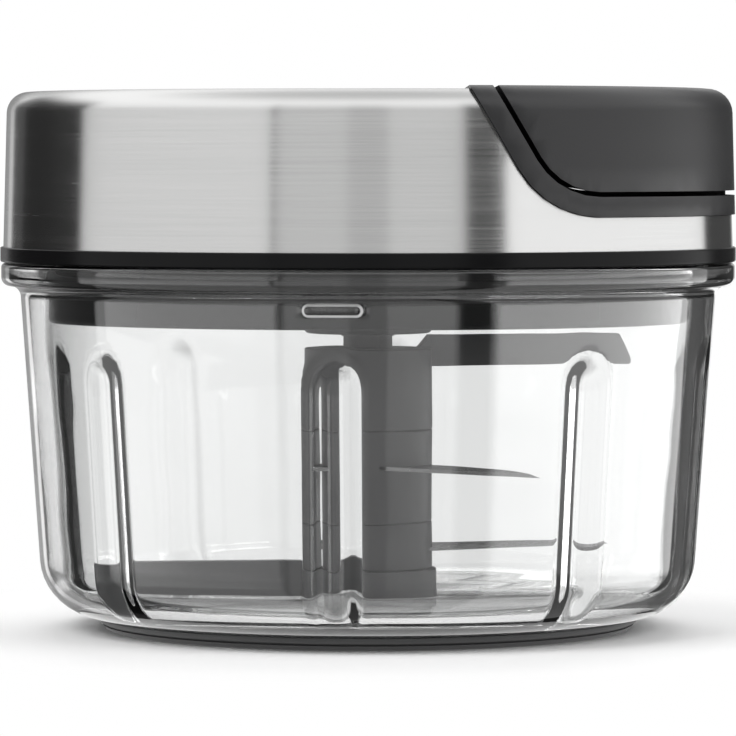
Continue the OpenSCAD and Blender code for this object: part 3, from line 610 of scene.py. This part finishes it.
class CHOPPER_OT_glass(bpy.types.Operator):
    """Make the ribbed glass bowl"""

    bl_idname = "chopper.glass"
    bl_label = "Glass bowl"

    groove_half = 1.3 * MM
    groove_depth = 1.4 * MM
    post_r = 4 * MM
    post_height = 9 * MM
    rib_zone = 40 * MM
    rib_foot = 3 * MM
    sector_steps = 54
    mesh_step = 1.6 * MM
    lug_step = 0.24 * MM
    lug_flat = 1.6
    lug_round = 0.6

    def execute(self, context):
        size = sizes()
        wall = size.glass_wall / math.cos(SLOPE)
        floor_z = GLASS_Z0 + size.glass_floor

        def inner_r(z):
            return side_r(z) - wall

        groove_in, groove_out = BEAD_R - self.groove_half, BEAD_R + self.groove_half
        groove_z, post_z = GLASS_Z0 + self.groove_depth, floor_z + self.post_height
        bm = bmesh.new()
        outline(
            bm,
            [
                (0, GLASS_Z0, 0),
                (groove_in, GLASS_Z0, 0.3 * MM),
                (groove_in, groove_z, 0),
                (groove_out, groove_z, 0),
                (groove_out, GLASS_Z0, 0.3 * MM),
                (side_r(GLASS_Z0), GLASS_Z0, 11 * MM),
                (side_r(FLANGE_Z0), FLANGE_Z0, 2.2 * MM),
                (FLANGE_R, FLANGE_Z0, 1.6 * MM),
                (FLANGE_R, RIM_Z, 0.8 * MM),
                (inner_r(RIM_Z), RIM_Z, 0.9 * MM),
                (inner_r(floor_z), floor_z, size.floor_corner),
                (self.post_r, floor_z, 0.6 * MM),
                (self.post_r, post_z, self.post_r - 0.1 * MM),
                (0, post_z, 0),
            ],
            closed=False,
            segments=10,
        )

        def near_lug(middle):
            return middle.x > inner_r(LUG_Z) + 1 * MM and abs(middle.z - LUG_Z) < 2 * MM

        divide(bm, self.mesh_step)
        divide(bm, self.lug_step, near_lug)
        share = FULL_TURN / RIB_COUNT
        spin(bm, self.sector_steps, share)
        turn(bm, bm.verts, -share / 2)
        self.raise_rib(bm, size, inner_r, floor_z)
        turn(bm, bm.verts, RIB_TURN)
        sector = bm.verts[:] + bm.edges[:] + bm.faces[:]
        for copy in range(1, RIB_COUNT):
            turn(bm, bmesh.ops.duplicate(bm, geom=sector)["geom"], share * copy)
        tidy(bm)
        self.raise_lugs(bm, size)
        piece = new_piece("glass_bowl", bm, "clear_glass", smooth=50)
        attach(piece, "bowl")
        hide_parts("bowl")
        return {"FINISHED"}

    def raise_rib(self, bm, size, inner_r, floor_z):
        """Swells the inner wall at +X into a round rib that runs down into the floor."""
        corner_r = size.floor_corner
        corner_z = floor_z + corner_r
        corner_x = inner_r(corner_z) - corner_r / math.cos(SLOPE)
        corner_run = corner_r * (math.pi / 2 - SLOPE)
        wall_in = Vector((-math.cos(SLOPE), math.sin(SLOPE)))
        wall_up = Vector((math.sin(SLOPE), math.cos(SLOPE)))
        foot_end = -corner_run - self.rib_foot
        top_end = RIM_Z - size.rib_drop - corner_z
        half = size.rib_half
        for vert in bm.verts:
            reach, z = vert.co.xy.length, vert.co.z
            in_bowl = z > floor_z - 0.01 * MM and reach < inner_r(z) + 0.02 * MM
            if reach < self.rib_zone or not in_bowl:
                continue
            angle = math.atan2(vert.co.y, vert.co.x)
            from_centre = Vector((reach - corner_x, z - corner_z))
            if from_centre.dot(wall_up) > 0:
                way, run = wall_in, z - corner_z
            elif from_centre.x > 0:
                way = -from_centre.normalized()
                run = -corner_r * (math.atan2(-from_centre.y, from_centre.x) - SLOPE)
            else:
                way, run = Vector((0, 1)), from_centre.x - corner_run
            past = max(run - (top_end - half), (foot_end + 2 * half - run) / 2, 0)
            fall = 1 - ((angle * reach) ** 2 + past**2) / half**2
            if fall > 0:
                rise = size.rib_depth * fall**2
                vert.co = polar(reach + way.x * rise, angle, z + way.y * rise)

    def raise_lugs(self, bm, size):
        """Swells a pill-shaped lug out of the wall, front and back."""
        for vert in bm.verts:
            reach = vert.co.xy.length
            if reach < side_r(vert.co.z) - 0.1 * MM or abs(vert.co.z - LUG_Z) > LUG_THICK:
                continue
            angle = math.atan2(vert.co.y, vert.co.x)
            off = (angle - RIB_TURN + math.pi / 2) % math.pi - math.pi / 2
            past = max(abs(off * reach) - LUG_HALF, 0)
            fall = 1 - (past**2 + (vert.co.z - LUG_Z) ** 2) / LUG_THICK**2
            if fall > 0:
                rise = size.lug_height * min(1, self.lug_flat * fall) ** self.lug_round
                vert.co.xy *= 1 + rise / reach


class CHOPPER_OT_foot(bpy.types.Operator):
    """Make the grooved foot ring"""

    bl_idname = "chopper.foot"
    bl_label = "Foot ring"

    width = 8.1 * MM
    lean = 2.3 * MM
    bead_half = 1.2 * MM
    play = 0.05 * MM
    steps = 240

    def execute(self, context):
        groove = sizes().foot_groove
        out, low, top = FOOT_HIGH.x, FOOT_LOW.z, GLASS_Z0 - self.play
        bead_in, bead_out = BEAD_R - self.bead_half, BEAD_R + self.bead_half
        bead_top = FOOT_HIGH.z - self.play

        def side(share, cut=0.0):
            return (out - self.lean * (1 - share) - cut, low + (top - low) * share, 0)

        bm = bmesh.new()
        outline(
            bm,
            [
                (out - self.width, low, 0.4 * MM),
                (out - self.lean, low, 0.5 * MM),
                side(0.36),
                side(0.42, groove),
                side(0.5, groove),
                side(0.56),
                (out, top, 0.25 * MM),
                (bead_out, top, 0),
                (bead_out, bead_top, 0.3 * MM),
                (bead_in, bead_top, 0.3 * MM),
                (bead_in, top, 0),
                (out - self.width, top, 0.3 * MM),
            ],
            closed=True,
            segments=4,
        )
        spin(bm, self.steps)
        piece = new_piece("grooved_foot", bm, "soft_black", 30, "foot_rubber")
        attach(piece, "bowl")
        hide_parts("foot_ring")
        return {"FINISHED"}


# Lid


def dock_planes(depth, count=14):
    """Points and directions of planes along the dock's curve, moved towards the handle."""
    size = sizes()
    centre_z = DOCK_Z0 + size.dock_round
    steep = Vector((math.sin(DOCK_SLOPE), 0, math.cos(DOCK_SLOPE)))
    top = Vector((size.dock_x, 0, CAP_TOP))
    centre_x = top.x + (size.dock_round - (centre_z - top.z) * steep.z) / steep.x
    centre = Vector((centre_x, 0, centre_z))
    first = math.pi / 2 - DOCK_SLOPE
    planes = []
    for step in range(count + 1):
        angle = first + (math.pi / 2 - first) * step / count
        way = Vector((math.cos(angle), 0, math.sin(angle)))
        planes.append((centre - way * (size.dock_round - depth), way))
    return planes


class CHOPPER_OT_cap(bpy.types.Operator):
    """Make the brushed steel cap"""

    bl_idname = "chopper.cap"
    bl_label = "Steel cap"

    steps = 256
    mesh_step = 6 * MM
    soft_edge = 0.2 * MM
    past_dock = 0.1 * MM
    on_plane = 0.0001 * MM

    def execute(self, context):
        size = sizes()
        bm = bmesh.new()
        outline(
            bm,
            [
                (CAP_R, CAP_Z0, 0),
                (CAP_R - size.cap_draft, CAP_TOP, size.cap_edge),
                (0, CAP_TOP, 0),
            ],
            closed=False,
            segments=14,
        )
        divide(bm, self.mesh_step)
        spin(bm, self.steps)
        inside = bm.faces[:]
        for point, way in dock_planes(-self.past_dock):
            edges = dict.fromkeys(edge for face in inside for edge in face.edges)
            verts = dict.fromkeys(vert for face in inside for vert in face.verts)
            geometry = [*inside, *edges, *verts]
            cut = bmesh.ops.bisect_plane(
                bm, geom=geometry, plane_co=point, plane_no=way, dist=self.on_plane
            )
            faces = [item for item in cut["geom"] if isinstance(item, bmesh.types.BMFace)]
            inside = [face for face in faces if (face.calc_center_median() - point).dot(way) > 0]
        bmesh.ops.delete(bm, geom=inside, context="FACES")
        bmesh.ops.remove_doubles(bm, verts=bm.verts[:], dist=0.002 * MM)
        for face in bm.faces:
            if face.normal.dot(face.calc_center_median() - Vector((0, 0, CAP_Z0))) < 0:
                face.normal_flip()
        piece = new_piece("brushed_cap", bm, "cap_steel", smooth=40)
        sheet = piece.modifiers.new("Sheet", "SOLIDIFY")
        sheet.thickness, sheet.offset = size.cap_sheet, -1
        soften(piece, self.soft_edge, 2, 50)
        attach(piece, "lid")
        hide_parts("steel_cap")
        return {"FINISHED"}


class CHOPPER_OT_strip(bpy.types.Operator):
    """Make the soft strip that the handle rests over, in the middle of the dock"""

    bl_idname = "chopper.strip"
    bl_label = "Dock strip"

    sunk = 0.05 * MM
    under_handle = 0.1 * MM
    from_edge = 1.3 * MM
    first_plane = 3

    def execute(self, context):
        across = Vector((0, sizes().strip_width, 0))
        end = CAP_R - self.from_edge
        sides = []
        for gap in (DOCK_GAP + self.sunk, self.under_handle):
            curve = [point for point, _ in dock_planes(HANDLE_Z0 - DOCK_Z0 - gap)]
            sides.append([*curve[self.first_plane :], Vector((end, 0, HANDLE_Z0 - gap))])
        low, high = sides
        points = [point - across / 2 for point in low + high[::-1]]
        piece = new_piece("dock_strip", slab(points, across), "soft_black")
        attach(piece, "lid")
        return {"FINISHED"}


class CHOPPER_OT_leaves(bpy.types.Operator):
    """Make the two leaf springs, one by each pawl"""

    bl_idname = "chopper.leaves"
    bl_label = "Leaf springs"

    peg_r = 9.2 * MM
    peg_turn = math.radians(24)
    tip_r = 12.1 * MM
    tip_turn = math.radians(-7.5)
    eye_r = 1.45 * MM
    eye_half = 0.98 * math.pi
    eye_steps = 22
    bends = 14

    def execute(self, context):
        for body, turned in (("pawl_a", 0), ("pawl_b", math.pi)):
            self.leaf(body, turned)
        return {"FINISHED"}

    def leaf(self, body, turned):
        """One leaf: an open eye on its peg and a blade that reaches the pawl."""
        thick = sizes().leaf_thickness
        low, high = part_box("pawl_springs")
        peg = polar(self.peg_r, self.peg_turn + turned, low.z)
        tip = polar(self.tip_r, self.tip_turn + turned, low.z)
        along = (tip - peg).normalized()
        side = Vector((-along.y, along.x, 0)) * thick / 2
        root = peg + along * (self.eye_r + thick)
        heading = math.atan2(along.y, along.x)
        part = self.eye_half / self.eye_steps
        spread = [part * (step + 1) for step in range(self.eye_steps)]
        one_side = [root.lerp(tip, step / self.bends) for step in range(self.bends, -1, -1)]
        points = [point + side for point in one_side]
        points += [peg + polar(self.eye_r + thick, heading + a) for a in spread]
        points += [peg + polar(self.eye_r, heading + a) for a in spread[::-1]]
        points += [peg + polar(self.eye_r, heading - a) for a in spread]
        points += [peg + polar(self.eye_r + thick, heading - a) for a in spread[::-1]]
        points += [point - side for point in one_side[::-1]]
        height = Vector((0, 0, high.z - low.z))
        piece = new_piece(f"leaf_of_{body}", slab(points, height), "spring_steel")
        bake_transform(piece)
        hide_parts("pawl_springs")


class CHOPPER_OT_plain(bpy.types.Operator):
    """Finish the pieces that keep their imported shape"""

    bl_idname = "chopper.plain"
    bl_label = "Packed pieces"

    other_finish = {"handle_dock": "handle_plastic"}
    softened = {
        "handle_shell": 0.5 * MM,
        "handle_cover": 0.25 * MM,
        "handle_dock": 0.4 * MM,
        "upper_paddle": 0.3 * MM,
        "lower_paddle": 0.3 * MM,
    }

    def execute(self, context):
        for name, node in NODES.items():
            if node.hide_render or node.get("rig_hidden"):
                continue
            slot = self.other_finish.get(name, node.data.materials[0].name.split(".")[0])
            if slot not in FINISHES:
                raise RuntimeError(f"{name} has no finish for {slot}")
            node.data.materials[0] = finish_for(slot)
            if name in self.softened:
                soften(node, self.softened[name], 3, 30, weld=True)
        return {"FINISHED"}


# Cord


def ring_tube(bm, frames, lengths, radius, sides=14):
    """A tube through a list of frames, with UVs along its length and round it."""
    uv = bm.loops.layers.uv.new("cord")
    along = bm.verts.layers.float.new("along")
    order = bm.verts.layers.int.new("order")
    ring = bmesh.ops.create_circle(
        bm, cap_ends=False, radius=radius, segments=sides, matrix=frames[0]
    )["verts"]
    for index, vert in enumerate(ring):
        vert[along], vert[order] = lengths[0], index
    edges = bm.edges[:]
    for before, after, reach in zip(frames, frames[1:], lengths[1:]):
        made = bmesh.ops.extrude_edge_only(bm, edges=edges)["geom"]
        ring = verts_in(made)
        bmesh.ops.transform(bm, matrix=after @ before.inverted(), verts=ring)
        links = [item for item in made if isinstance(item, bmesh.types.BMEdge)]
        edges = [edge for edge in links if set(edge.verts) <= set(ring)]
        for vert in ring:
            vert[along] = reach
    for face in bm.faces:
        places = {loop.vert[order] for loop in face.loops}
        wraps = 0 in places and sides - 1 in places
        for loop in face.loops:
            place = loop.vert[order]
            around = sides if wraps and place == 0 else place
            loop[uv].uv = (loop.vert[along], around / sides)
    bmesh.ops.recalc_face_normals(bm, faces=bm.faces[:])


def frame_at(point, way):
    """A frame whose Z runs along a way."""
    return Matrix.Translation(point) @ Vector(way).to_track_quat("Z", "Y").to_matrix().to_4x4()


class CHOPPER_OT_cord(bpy.types.Operator):
    """Make the cord: its winding on the reel, its run to the handle and its knot"""

    bl_idname = "chopper.cord"
    bl_label = "Pull cord"

    turns = 3.4
    pitch = 2.35 * MM
    wind_r = 15 * MM
    bend_r = 6 * MM
    bend_in = 0.35 * MM
    steps_per_turn = 40
    bend_steps = 12
    run_steps = 60
    # The part that draws out starts past the bend and stops short of the knot
    free_from = 1.6 * MM
    free_to = 0.4 * MM
    knot_in = 0.3 * MM
    knot_steps = 72
    knot_length = 20 * MM
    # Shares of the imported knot's width and depth
    knot_reach = 0.62 * 0.52 / 2.2
    knot_depth = 0.21
    knot_cord = 0.42

    def execute(self, context):
        radius = sizes().cord_thickness / 2
        dock_at_cord = sizes().dock_x + (CAP_TOP - CORD_Z) / math.tan(DOCK_SLOPE)
        bend_x = dock_at_cord + self.bend_in
        tangent = math.asin((self.wind_r + self.bend_r) / math.hypot(bend_x, self.bend_r))
        heading = tangent - math.atan2(self.bend_r, bend_x)
        self.winding(radius, heading - math.pi / 2)
        self.run(radius, heading, bend_x)
        self.knot()
        return {"FINISHED"}

    def winding(self, radius, leave):
        """The turns on the reel, from the anchor up to where the cord leaves it."""
        count = int(self.turns * self.steps_per_turn)
        climb = self.pitch / FULL_TURN / self.wind_r
        frames, lengths = [], []
        for step in range(count + 1):
            done = self.turns * step / count
            to_go = self.turns - done
            angle = leave - FULL_TURN * to_go
            point = polar(self.wind_r, angle, CORD_Z - self.pitch * to_go)
            frames.append(frame_at(point, (-math.sin(angle), math.cos(angle), climb)))
            lengths.append(done * FULL_TURN * self.wind_r)
        bm = bmesh.new()
        ring_tube(bm, frames, lengths, radius)
        self.close_ends(bm)
        piece = new_piece("wound_cord", bm, "cord", smooth=60)
        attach(piece, "reel")
        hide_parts("cord_winding")

    def run(self, radius, heading, bend_x):
        """The cord from the reel, round the eyelet's mouth and into the knot."""
        frames = [frame_at(polar(self.wind_r, heading - math.pi / 2, CORD_Z), polar(1, heading))]
        centre = Vector((bend_x, -self.bend_r, CORD_Z))
        for step in range(self.bend_steps + 1):
            angle = heading * (1 - step / self.bend_steps)
            point = centre + polar(self.bend_r, angle + math.pi / 2)
            frames.append(frame_at(point, polar(1, angle)))
        first, last = bend_x + self.free_from, KNOT_LOW.x - self.free_to
        for step in range(self.run_steps + 1):
            point = Vector((first + (last - first) * step / self.run_steps, 0, CORD_Z))
            frames.append(frame_at(point, (1, 0, 0)))
        frames.append(frame_at(Vector((KNOT_LOW.x + self.knot_in, 0, CORD_Z)), (1, 0, 0)))
        lengths, reach = [], 0.0
        previous = frames[0].translation
        for at in frames:
            reach += (at.translation - previous).length
            previous = at.translation
            share = min(max((previous.x - first) / (last - first), 0), 1)
            drawn = share * share * (3 - 2 * share) * PULL
            lengths.append(reach + drawn)
        bm = bmesh.new()
        ring_tube(bm, frames, lengths, radius)
        self.close_ends(bm)
        piece = new_piece("cord_to_handle", bm, "cord", smooth=60)
        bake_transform(piece)
        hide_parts("cord_run")

    def knot(self):
        """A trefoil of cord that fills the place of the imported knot."""
        centre = Vector(((KNOT_LOW.x + KNOT_HIGH.x) / 2, 0, CORD_Z))
        across = (KNOT_HIGH.y - KNOT_LOW.y) / 2
        depth = self.knot_depth * (KNOT_HIGH.x - KNOT_LOW.x)
        size = self.knot_reach * across
        bm = bmesh.new()
        frames, lengths = [], []
        for step in range(self.knot_steps + 1):
            share = step / self.knot_steps
            t = FULL_TURN * share
            sin, cos, sin2, cos2 = math.sin(t), math.cos(t), math.sin(2 * t), math.cos(2 * t)
            point = (depth * math.sin(3 * t), size * (sin + 2 * sin2), size * (cos - 2 * cos2))
            ahead = (3 * depth * math.cos(3 * t), size * (cos + 4 * cos2), size * (4 * sin2 - sin))
            frames.append(frame_at(centre + Vector(point), ahead))
            lengths.append(share * self.knot_length)
        ring_tube(bm, frames, lengths, self.knot_cord * across)
        bmesh.ops.remove_doubles(bm, verts=bm.verts[:], dist=0.001 * MM)
        piece = new_piece("tied_knot", bm, "cord", smooth=60)
        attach(piece, "handle")
        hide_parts("cord_knot")

    @staticmethod
    def close_ends(bm):
        """Fills the two open ends of a tube."""
        rims = [edge for edge in bm.edges if edge.is_boundary]
        bmesh.ops.holes_fill(bm, edges=rims, sides=0)


# Stage


# The studio round the object, by angle from the camera towards +X: cards between lit panels.
# Each card has a start, an end, its own light level and the level of the panel after it.
CARDS = (
    (-180, -158, 0.4, 0.7),
    (-153, -139, 0.11, 0.03),
    (-120, -101, 0.03, 0.71),
    (-31, -28, 0.2, 0.59),
    (-7, 7, 0.5, 0.62),
    (30, 44, 0.04, 0.9),
    (131, 168, 0.1, 0.7),
    (174, 180, 0.25, 0.25),
)
CARD_EDGE = 1.4


def panel_stops():
    """Ramp stops for the light level round the studio."""
    level = CARDS[0][2]
    stops = []
    for start, end, dark, after in CARDS:
        inner = (start + CARD_EDGE, dark), (end - CARD_EDGE, dark)
        for angle, value in ((start, level), *inner, (end, after)):
            stops.append((angle / 360 + 0.5, value))
        level = after
    return stops


def aim(item, place, target):
    """Puts a camera or lamp in its place and points it at a target."""
    item.location = place
    item.rotation_euler = (Vector(target) - item.location).to_track_quat("-Z", "Y").to_euler()


class CHOPPER_OT_stage(bpy.types.Operator):
    """Set up the camera, the floor and the light"""

    bl_idname = "chopper.stage"
    bl_label = "Stage"

    lens = 255.7
    camera_place = (0, -0.983, 0.089)
    camera_target = (0, 0, 0.0488)
    lamp_target = (0, 0, 0.05)
    floor_r = 0.115
    floor_fade = (0.072, 0.108)
    floor_open = 0.056
    floor_glow = 0.85

    def execute(self, context):
        self.camera(context)
        self.floor()
        self.world(context)
        self.lamps()
        context.scene.view_settings.view_transform = "Standard"
        return {"FINISHED"}

    def camera(self, context):
        """The photo's view: a long lens at the front, level with the lid."""
        data = bpy.data.cameras.new("Camera")
        data.lens, data.sensor_width = self.lens, 36
        data.clip_start, data.clip_end = 0.05, 20
        camera = new_object("Camera", data)
        aim(camera, self.camera_place, self.camera_target)
        context.scene.camera = camera

    def floor(self):
        """A disc with the contact shadow, which runs out into the white background."""
        finish = new_finish("floor")
        reach = hypot(*finish.parts(finish.place(), "XY"))
        camera, glossy, through = finish.rays(
            "Is Camera Ray", "Is Glossy Ray", "Is Transmission Ray"
        )
        bent = glossy.maths("MAXIMUM", through)
        matt = finish.node("ShaderNodeBsdfDiffuse", {}, {"Color": [*colours().floor, 1]})
        glow = finish.node("ShaderNodeEmission", {}, {"Color": (1, 1, 1, 1), "Strength": 1.0})
        open_air = finish.node("ShaderNodeBsdfTransparent", {}, {})
        lit = camera * reach.fade(*self.floor_fade) + bent * self.floor_glow
        shown = finish.blend(lit, matt, glow)
        material = finish.end(finish.blend(bent * (reach > self.floor_open), shown, open_air))
        bm = bmesh.new()
        bmesh.ops.create_circle(bm, cap_ends=True, radius=self.floor_r, segments=96)
        bmesh.ops.recalc_face_normals(bm, faces=bm.faces[:])
        floor = new_shape("floor", bm, material)

    def world(self, context):
        """A white background for the camera, and a studio for what glass and steel mirror."""
        world = bpy.data.worlds.new("studio")
        context.scene.world = world
        finish = Finish(world)
        x, y, z = finish.parts(finish.place("Generated"))
        camera, diffuse, mirrored, passed = finish.rays(
            "Is Camera Ray", "Is Diffuse Ray", "Glossy Depth", "Transmission Depth"
        )
        # Cards and panels round the object, with a paler patch behind the left of the glass wall
        azimuth = x.maths("ARCTAN2", 0 - y) / FULL_TURN + 0.5
        bands = finish.node("ShaderNodeValToRGB", {"stops": panel_stops()}, {0: azimuth})
        wall_edge = y.fade(0.68, 0.78) * (x < 0) * (y < 0.93) * (passed > 0.5) * 0.65
        bands = bands.maths("MAXIMUM", wall_edge)
        # They are brighter towards the top, and have more contrast just under the horizon
        high = 0.7 + z.fade(0.14, 0.3) * 0.8
        low = z.fade(-0.02, -0.06) * (1 - z.fade(-0.15, -0.24))
        side = bands * high * (1 - low) + bands * bands * low * 2.5
        # A ceiling over them, dimmer right overhead
        over = z.fade(0.35, 0.6)
        panels = side * (1 - over) + over * (1.2 - z.fade(0.72, 1.0) * 0.6)
        # Rays that only pass through the glass see a pale background instead
        clear = y.fade(0.3, 0.75) * (1 - z.fade(-0.12, -0.4) * 0.6) * 0.6 + 0.4
        glossy = mirrored.maths("MINIMUM", 1.0) * (1 - (passed > 4.5))
        behind = (passed > 0.5) * 0.12
        seen = glossy * panels.maths("MAXIMUM", behind) + (1 - glossy) * clear
        strength = camera + (1 - camera) * (diffuse * 0.6 + (1 - diffuse) * seen)
        values = {"Color": (1, 1, 1, 1), "Strength": strength}
        finish.end(finish.node("ShaderNodeBackground", {}, values), "ShaderNodeOutputWorld")

    def lamps(self):
        """Three soft lamps, which no surface mirrors."""
        for name, place, size, power in (
            ("key", (-0.7, -0.6, 0.9), 0.7, 9.0),
            ("fill", (0.8, -0.5, 0.7), 0.7, 5.0),
            ("back", (0.1, 0.8, 0.9), 0.9, 7.0),
        ):
            data = bpy.data.lights.new(name, "AREA")
            data.shape, data.size, data.energy = "SQUARE", size, power
            lamp = new_object(name, data)
            aim(lamp, place, self.lamp_target)
            lamp.visible_glossy = False


# Panel


STEPS = (
    CHOPPER_OT_stage,
    CHOPPER_OT_glass,
    CHOPPER_OT_foot,
    CHOPPER_OT_cap,
    CHOPPER_OT_strip,
    CHOPPER_OT_leaves,
    CHOPPER_OT_cord,
    CHOPPER_OT_plain,
)


class CHOPPER_PT_panel(bpy.types.Panel):
    """Sizes, colours and steps of the chopper"""

    bl_label = "Pull cord chopper"
    bl_idname = "CHOPPER_PT_panel"
    bl_space_type = "VIEW_3D"
    bl_region_type = "UI"
    bl_category = "Chopper"

    def draw(self, context):
        for group in (sizes(), colours()):
            for name in group.bl_rna.properties.keys():
                if name not in {"rna_type", "name"}:
                    self.layout.prop(group, name)
        for step in STEPS:
            self.layout.operator(step.bl_idname)


CLASSES = (ChopperSizes, ChopperColours, *STEPS, CHOPPER_PT_panel)


def register():
    for cls in CLASSES:
        bpy.utils.register_class(cls)
    bpy.types.Scene.chopper_sizes = bpy.props.PointerProperty(type=ChopperSizes)
    bpy.types.Scene.chopper_colours = bpy.props.PointerProperty(type=ChopperColours)


def unregister():
    del bpy.types.Scene.chopper_colours
    del bpy.types.Scene.chopper_sizes
    for cls in reversed(CLASSES):
        bpy.utils.unregister_class(cls)


def main():
    register()
    bpy.ops.chopper.stage()
    bpy.ops.chopper.glass()
    bpy.ops.chopper.foot()
    bpy.ops.chopper.cap()
    bpy.ops.chopper.strip()
    bpy.ops.chopper.leaves()
    bpy.ops.chopper.cord()
    bpy.ops.chopper.plain()


if __name__ == "__main__":
    main()
